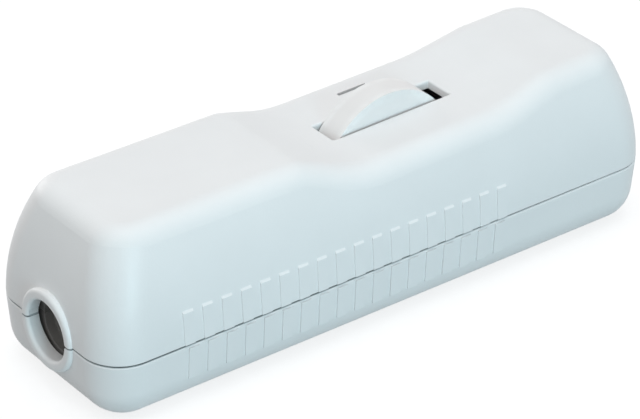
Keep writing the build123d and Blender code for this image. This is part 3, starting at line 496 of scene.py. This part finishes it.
def worn_and_highlit_edges(material, middle, radius, half_width, band, pale):
    """Make a wheel's material paler in patches along the two edges of its rim, as wear where thumbs rub it
    and as a painted highlight on the rounded edges.
    """
    nodes, links = material.node_tree.nodes, material.node_tree.links
    flat = nodes.new("ShaderNodeMapping")
    flat.location = (-900, 650)
    flat.inputs["Location"].default_value = (-middle.x, 0.0, -middle.z)
    flat.inputs["Scale"].default_value = (1.0, 0.0, 1.0)
    vector = own_coordinates(nodes, links)
    links.new(vector, flat.inputs["Vector"])
    spoke = nodes.new("ShaderNodeVectorMath")
    spoke.operation = "LENGTH"
    spoke.location = (-700, 650)
    links.new(flat.outputs["Vector"], spoke.inputs[0])
    out = spoke.outputs["Value"]
    outer = eased(nodes, links, out, radius - band, radius - 0.3 * band, 0.0, 1.0, (-450, 650))
    place = nodes.new("ShaderNodeSeparateXYZ")
    place.location = (-850, 900)
    links.new(vector, place.inputs[0])
    across = calculated(nodes, links, "ABSOLUTE", place.outputs["Y"], 0.0, (-650, 900))
    inner, rim = half_width - 0.8 * band, half_width - 0.3 * band
    side = eased(nodes, links, across, inner, rim, 0.0, 1.0, (-450, 900))
    # The paler edge band: wear, and a painted highlight where the rim's edges round over.
    edge = calculated(nodes, links, "MULTIPLY", outer, side, (-250, 800))
    rubbed = noise(nodes, links, vector, 1.6 * MM, 3, (-650, 1150))
    patches = spread(nodes, links, rubbed, 0.25, 1.0, (-450, 1150))
    lay_over(material, calculated(nodes, links, "MULTIPLY", edge, patches, (-50, 900)), pale)


# Operators


class DIMMER_OT_housing_finish(bpy.types.Operator):
    """Finish the two moulded shells"""

    bl_idname = "dimmer.housing_finish"
    bl_label = "Housing Finish"

    def execute(self, context):
        sizes = context.scene.dimmer_housing
        white = moulded_plastic(
            "housing_white", tuple(sizes.colour), sizes.roughness, sizes.grain, sizes.grain_depth, 0.012
        )
        joint = next(m["pos_m"][2] for m in frame["record"]["mounts"] if m["name"] == "cord_entry_left")
        # Dust and painted shade along the joint between the shells.
        dust_and_shade_in_joint(white, joint, sizes.joint_dust_and_shade, tuple(sizes.dust_and_shade_colour))
        for node in ("upper_shell", "lower_shell"):
            paint(node, white)
        return {"FINISHED"}


class DIMMER_OT_wheel_finish(bpy.types.Operator):
    """Finish the thumbwheel, its shaft and the wiper"""

    bl_idname = "dimmer.wheel_finish"
    bl_label = "Wheel Finish"

    def execute(self, context):
        sizes = context.scene.dimmer_wheel
        white = moulded_plastic(
            "wheel_white", tuple(sizes.colour), sizes.roughness, 0.3 * MM, 0.004 * MM, 0.03
        )
        low, high = (Vector(corner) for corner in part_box("thumbwheel"))
        radius, half_width = (high.z - low.z) / 2, (high.y - low.y) / 2
        # Paler rim edges: wear where thumbs rub, and a painted highlight on the rounded edges.
        worn_and_highlit_edges(white, (low + high) / 2, radius, half_width, sizes.wear_and_highlight, tuple(sizes.worn_and_highlight_colour))
        paint("thumbwheel", white)
        paint("wheel_shaft", drawn_metal("shaft_steel", (0.56, 0.57, 0.58), 0.34, (1, 0.06, 1)))
        paint("wiper", moulded_plastic("wiper_black", (0.022, 0.022, 0.024), 0.5, 0.25 * MM, 0.006 * MM))
        return {"FINISHED"}


class DIMMER_OT_clamp_finish(bpy.types.Operator):
    """Finish the cord clamps and the terminal blocks"""

    bl_idname = "dimmer.clamp_finish"
    bl_label = "Clamp Finish"

    def execute(self, context):
        grey = moulded_plastic(
            "clamp_grey", tuple(context.scene.dimmer_inside.clamp_colour), 0.5, 0.4 * MM, 0.012 * MM, 0.08
        )
        for node in (
            "clamp_base_left", "clamp_base_right", "clamp_bar_left", "clamp_bar_right",
            "terminal_block_left", "terminal_block_right",
        ):
            paint(node, grey)
        return {"FINISHED"}


class DIMMER_OT_control_finish(bpy.types.Operator):
    """Finish the potentiometer, the switch and the triac"""

    bl_idname = "dimmer.control_finish"
    bl_label = "Control Finish"

    def execute(self, context):
        black = moulded_plastic("case_black", (0.024, 0.024, 0.026), 0.48, 0.35 * MM, 0.012 * MM, 0.12)
        for node in ("potentiometer_case", "switch_case", "triac_body"):
            paint(node, black)
        paint("resistance_plate", moulded_plastic(
            "carbon_track", (0.04, 0.034, 0.028), 0.6, 0.2 * MM, 0.01 * MM, 0.2
        ))
        return {"FINISHED"}


class DIMMER_OT_board_finish(bpy.types.Operator):
    """Finish the board and the small parts on it"""

    bl_idname = "dimmer.board_finish"
    bl_label = "Board Finish"

    def execute(self, context):
        paint("circuit_board", laminate("board_phenolic", tuple(context.scene.dimmer_inside.board_colour)))
        paint("film_capacitor", moulded_plastic(
            "film_yellow", (0.62, 0.36, 0.03), 0.3, 0.5 * MM, 0.008 * MM, 0.05, 0.3
        ))
        paint("timing_capacitors", moulded_plastic(
            "film_red", (0.32, 0.03, 0.015), 0.28, 0.4 * MM, 0.006 * MM, 0.08, 0.4
        ))
        paint("resistors", moulded_plastic(
            "resistor_beige", (0.50, 0.33, 0.16), 0.42, 0.3 * MM, 0.01 * MM, 0.1, 0.2
        ))
        paint("diac", moulded_plastic("diac_blue", (0.02, 0.06, 0.22), 0.3, 0.3 * MM, 0.006 * MM, 0.1, 0.3))
        paint("choke_core", sintered("ferrite", (0.018, 0.018, 0.02)))
        paint("choke_winding", enamelled_wire("copper", (0.62, 0.20, 0.06)))
        return {"FINISHED"}


class DIMMER_OT_metal_finish(bpy.types.Operator):
    """Finish the screws, pins, clips, cages and the heat sink"""

    bl_idname = "dimmer.metal_finish"
    bl_label = "Metal Finish"

    def execute(self, context):
        zinc = drawn_metal("zinc_steel", (0.55, 0.56, 0.58), 0.32, (1, 1, 0.3), streak=0.5 * MM)
        for node in (
            "housing_screws", "board_screws", "clamp_screws", "terminal_screws",
            "heatsink_screw", "heatsink_nut",
        ):
            paint(node, zinc)
        tin = drawn_metal("tinned_wire", (0.66, 0.66, 0.64), 0.26, (1, 1, 0.15), streak=0.3 * MM)
        for node in ("potentiometer_pins", "switch_pins", "component_leads", "triac_tab"):
            paint(node, tin)
        paint("terminal_cages", drawn_metal("brass", (0.74, 0.53, 0.20), 0.3, (0.1, 1, 1)))
        nickel = drawn_metal("nickel_caps", (0.62, 0.60, 0.55), 0.24, (1, 0.2, 1))
        paint("fuse_caps", nickel)
        paint("fuse_clips", nickel)
        paint("heatsink", drawn_metal("aluminium", (0.68, 0.69, 0.70), 0.38, (0.06, 1, 1), streak=0.5 * MM))
        return {"FINISHED"}


class DIMMER_OT_glass_finish(bpy.types.Operator):
    """Finish the fuse tube and the glow lamp"""

    bl_idname = "dimmer.glass_finish"
    bl_label = "Glass Finish"

    def execute(self, context):
        paint("fuse_tube", drawn_glass("clear_glass", (0.93, 0.96, 0.95), 0.03))
        paint("glow_lamp", drawn_glass("lamp_glass", (0.98, 0.88, 0.76), 0.05))
        return {"FINISHED"}


class DIMMER_OT_solder_joints(bpy.types.Operator):
    """Add the solder joints round the pins under the board"""

    bl_idname = "dimmer.solder_joints"
    bl_label = "Solder Joints"

    def execute(self, context):
        sizes = context.scene.dimmer_inside
        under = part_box("circuit_board")[0][2]
        deselect_all()
        bpy.ops.mesh.primitive_cone_add(
            vertices=16, radius1=sizes.solder_radius, radius2=0.5 * sizes.solder_radius,
            depth=sizes.solder_height, location=(0, 0, 0), rotation=(math.pi, 0, 0),
        )
        model = context.object
        bpy.ops.object.mode_set(mode="EDIT")
        bpy.ops.mesh.select_all(action="SELECT")
        bpy.ops.mesh.subdivide(number_cuts=1, smoothness=0)
        bpy.ops.object.mode_set(mode="OBJECT")
        apply_place(model)
        # The sides of a joint are hollow, as solder draws itself up a pin
        for vertex in model.data.vertices:
            if abs(vertex.co.z) < 0.1 * sizes.solder_height:
                vertex.co.x *= SOLDER_WAIST
                vertex.co.y *= SOLDER_WAIST
        places = []
        for node in (
            "potentiometer_pins", "switch_pins", "component_leads", "triac_tab", "heatsink", "choke_winding",
            "fuse_clips", "terminal_cages",
        ):
            places += pin_places(node, under)
        copies = []
        for x, y in places:
            joint = model.copy()
            joint.data = model.data.copy()
            context.collection.objects.link(joint)
            joint.location = (x, y, under - sizes.solder_height / 2)
            copies.append(joint)
        bpy.data.objects.remove(model)
        for joint in copies:
            apply_place(joint)
        joints = join_all(copies, "solder_joints")
        pick(joints)
        bpy.ops.object.shade_smooth_by_angle(angle=math.radians(50))
        seat(joints, "housing", tinned("solder", (0.70, 0.70, 0.68)))
        return {"FINISHED"}


class DIMMER_OT_fuse_wire(bpy.types.Operator):
    """Add the thin wire inside the fuse"""

    bl_idname = "dimmer.fuse_wire"
    bl_label = "Fuse Wire"

    def execute(self, context):
        low, high = (Vector(corner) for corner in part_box("fuse_tube"))
        middle = (low + high) / 2
        radius = context.scene.dimmer_inside.fuse_wire / 2
        length = high.y - low.y
        deselect_all()
        bpy.ops.mesh.primitive_cylinder_add(
            vertices=8, radius=radius, depth=length, location=middle,
            rotation=(math.pi / 2, 0, 0), end_fill_type="NGON",
        )
        wire = context.object
        apply_place(wire)
        pick(wire)
        bpy.ops.object.mode_set(mode="EDIT")
        bpy.ops.mesh.select_all(action="SELECT")
        bpy.ops.mesh.bisect(plane_co=middle, plane_no=(0, 1, 0))
        bpy.ops.object.mode_set(mode="OBJECT")
        for vertex in wire.data.vertices:
            if abs(vertex.co.y - middle.y) < 0.1 * MM:
                vertex.co.z -= FUSE_SAG
        bpy.ops.object.shade_smooth_by_angle(angle=math.radians(40))
        wire.name = "fuse_wire"
        seat(wire, "housing", frame["nodes"]["component_leads"].data.materials[0])
        return {"FINISHED"}


class DIMMER_OT_studio(bpy.types.Operator):
    """Add the floor, the lights and the camera"""

    bl_idname = "dimmer.studio"
    bl_label = "Studio"

    def execute(self, context):
        sizes = context.scene.dimmer_studio
        deselect_all()
        bpy.ops.mesh.primitive_plane_add(size=sizes.floor_size, location=(0, 0, 0))
        floor = context.object
        floor.name = "floor"
        floor.data.materials.append(floor_material())
        for name, place, aim, size, power, colour in (
            ("top_softbox", (0.06, 0.0, 0.78), (0, 0, 0.02), 0.75, sizes.top_power, COOL_WHITE),
            ("front_softbox", (-0.18, -0.85, 0.15), (0, 0, 0.015), 0.28, sizes.front_power, PALE_BLUE),
            ("end_softbox", (-0.55, -0.05, 0.62), (-0.05, 0, 0.015), 0.4, sizes.end_power, WARM_WHITE),
            ("back_softbox", (-0.05, 0.85, 0.2), (0, 0, 0.015), 0.35, sizes.back_power, COOL_WHITE),
        ):
            soft_light(name, place, aim, size, power, colour)
        world_light(context.scene)
        place_camera(context.scene, sizes)
        context.scene.view_settings.view_transform = "Standard"
        return {"FINISHED"}


def seen_or_mirrored(nodes, links):
    """One where a ray comes from the camera, a mirror or through glass, else zero."""
    path = nodes.new("ShaderNodeLightPath")
    path.location = (-850, 500)
    camera, glossy = path.outputs["Is Camera Ray"], path.outputs["Is Glossy Ray"]
    either = calculated(nodes, links, "MAXIMUM", camera, glossy, (-650, 500))
    return calculated(nodes, links, "MAXIMUM", either, path.outputs["Is Transmission Ray"], (-450, 500))


def mix_by_view(nodes, links, unseen, seen, output):
    """Send one shader to an output where it only lights, and another where it is seen."""
    mix = nodes.new("ShaderNodeMixShader")
    links.new(seen_or_mirrored(nodes, links), mix.inputs["Fac"])
    links.new(unseen, mix.inputs[1])
    links.new(seen, mix.inputs[2])
    links.new(mix.outputs[0], output.inputs["Surface"])


def floor_material():
    """Plain white paper: white where it is seen, with the object's shadow, and dimmer as it lights."""
    material = bpy.data.materials.new("studio_floor")
    material.use_nodes = True
    nodes, links = material.node_tree.nodes, material.node_tree.links
    nodes.clear()
    output = nodes.new("ShaderNodeOutputMaterial")
    fibre = noise(nodes, links, own_coordinates(nodes, links), 3 * MM, 4, (-650, 0))
    seen = nodes.new("ShaderNodeBsdfDiffuse")
    shadowed = two_tone(nodes, links, fibre, (0.30, 0.305, 0.31), (0.32, 0.325, 0.33), (-250, 0))
    links.new(shadowed, seen.inputs["Color"])
    glow = nodes.new("ShaderNodeEmission")
    glow.inputs["Color"].default_value = (1, 1, 1, 1)
    glow.inputs["Strength"].default_value = PAPER_GLOW
    both = nodes.new("ShaderNodeAddShader")
    links.new(seen.outputs[0], both.inputs[0])
    links.new(glow.outputs[0], both.inputs[1])
    unseen = nodes.new("ShaderNodeBsdfDiffuse")
    bounced = two_tone(nodes, links, fibre, (0.29, 0.30, 0.305), (0.31, 0.32, 0.325), (-250, -250))
    links.new(bounced, unseen.inputs["Color"])
    mix_by_view(nodes, links, unseen.outputs[0], both.outputs[0], output)
    return material


def soft_light(name, place, aim, size, power, colour):
    """Square softbox at a place, aimed at a point."""
    lamp = bpy.data.lights.new(name, "AREA")
    lamp.shape = "SQUARE"
    lamp.size = size
    lamp.energy = power
    lamp.color = colour
    holder = bpy.data.objects.new(name, lamp)
    bpy.context.collection.objects.link(holder)
    holder.location = place
    holder.rotation_euler = (Vector(aim) - Vector(place)).to_track_quat("-Z", "Y").to_euler()


def world_light(scene):
    """Even pale surroundings, white where they are seen."""
    world = bpy.data.worlds.new("studio_world")
    scene.world = world
    world.use_nodes = True
    nodes, links = world.node_tree.nodes, world.node_tree.links
    nodes.clear()
    output = nodes.new("ShaderNodeOutputWorld")
    dim = nodes.new("ShaderNodeBackground")
    dim.inputs["Color"].default_value = (0.97, 0.985, 1.0, 1)
    dim.inputs["Strength"].default_value = WORLD_STRENGTH
    white = nodes.new("ShaderNodeBackground")
    white.inputs["Color"].default_value = (1, 1, 1, 1)
    white.inputs["Strength"].default_value = 1.0
    mix_by_view(nodes, links, dim.outputs[0], white.outputs[0], output)


def place_camera(scene, sizes):
    """Camera from its azimuth, elevation, roll, distance and aim point."""
    turn, rise = sizes.azimuth, sizes.elevation
    back = Vector((math.sin(turn) * math.cos(rise), -math.cos(turn) * math.cos(rise), math.sin(rise)))
    right = Vector((math.cos(turn), math.sin(turn), 0))
    up = back.cross(right)
    tilted_right = math.cos(sizes.roll) * right + math.sin(sizes.roll) * up
    tilted_up = math.cos(sizes.roll) * up - math.sin(sizes.roll) * right
    lens = bpy.data.cameras.new("camera")
    lens.sensor_width = 36.0
    lens.lens = sizes.lens
    lens.clip_start = 0.01
    holder = bpy.data.objects.new("camera", lens)
    scene.collection.objects.link(holder)
    axes = Matrix((tilted_right, tilted_up, back)).transposed().to_4x4()
    holder.matrix_world = Matrix.Translation(Vector(sizes.target) + sizes.distance * back) @ axes
    scene.camera = holder


class DIMMER_PT_panel(bpy.types.Panel):
    """Steps and sizes of the dimmer, in the order in which they run"""

    bl_label = "Inline Cord Dimmer"
    bl_idname = "DIMMER_PT_panel"
    bl_space_type = "VIEW_3D"
    bl_region_type = "UI"
    bl_category = "Dimmer"

    def draw(self, context):
        layout = self.layout
        for group in ("dimmer_housing", "dimmer_wheel", "dimmer_inside", "dimmer_studio"):
            settings = getattr(context.scene, group)
            box = layout.box()
            for name in settings.bl_rna.properties.keys():
                if name not in ("rna_type", "name"):
                    box.prop(settings, name)
        for step in STEPS:
            layout.operator(step.bl_idname)


SETTINGS = (
    ("dimmer_housing", DimmerHousingSettings),
    ("dimmer_wheel", DimmerWheelSettings),
    ("dimmer_inside", DimmerInsideSettings),
    ("dimmer_studio", DimmerStudioSettings),
)
STEPS = (
    DIMMER_OT_housing_finish,
    DIMMER_OT_wheel_finish,
    DIMMER_OT_clamp_finish,
    DIMMER_OT_control_finish,
    DIMMER_OT_board_finish,
    DIMMER_OT_metal_finish,
    DIMMER_OT_glass_finish,
    DIMMER_OT_solder_joints,
    DIMMER_OT_fuse_wire,
    DIMMER_OT_studio,
)


def register():
    for name, settings in SETTINGS:
        bpy.utils.register_class(settings)
        setattr(bpy.types.Scene, name, PointerProperty(type=settings))
    for step in STEPS:
        bpy.utils.register_class(step)
    bpy.utils.register_class(DIMMER_PT_panel)


def unregister():
    bpy.utils.unregister_class(DIMMER_PT_panel)
    for step in reversed(STEPS):
        bpy.utils.unregister_class(step)
    for name, settings in reversed(SETTINGS):
        delattr(bpy.types.Scene, name)
        bpy.utils.unregister_class(settings)


def main():
    register()
    bpy.ops.dimmer.housing_finish()
    bpy.ops.dimmer.wheel_finish()
    bpy.ops.dimmer.clamp_finish()
    bpy.ops.dimmer.control_finish()
    bpy.ops.dimmer.board_finish()
    bpy.ops.dimmer.metal_finish()
    bpy.ops.dimmer.glass_finish()
    bpy.ops.dimmer.solder_joints()
    bpy.ops.dimmer.fuse_wire()
    bpy.ops.dimmer.studio()


if __name__ == "__main__":
    main()
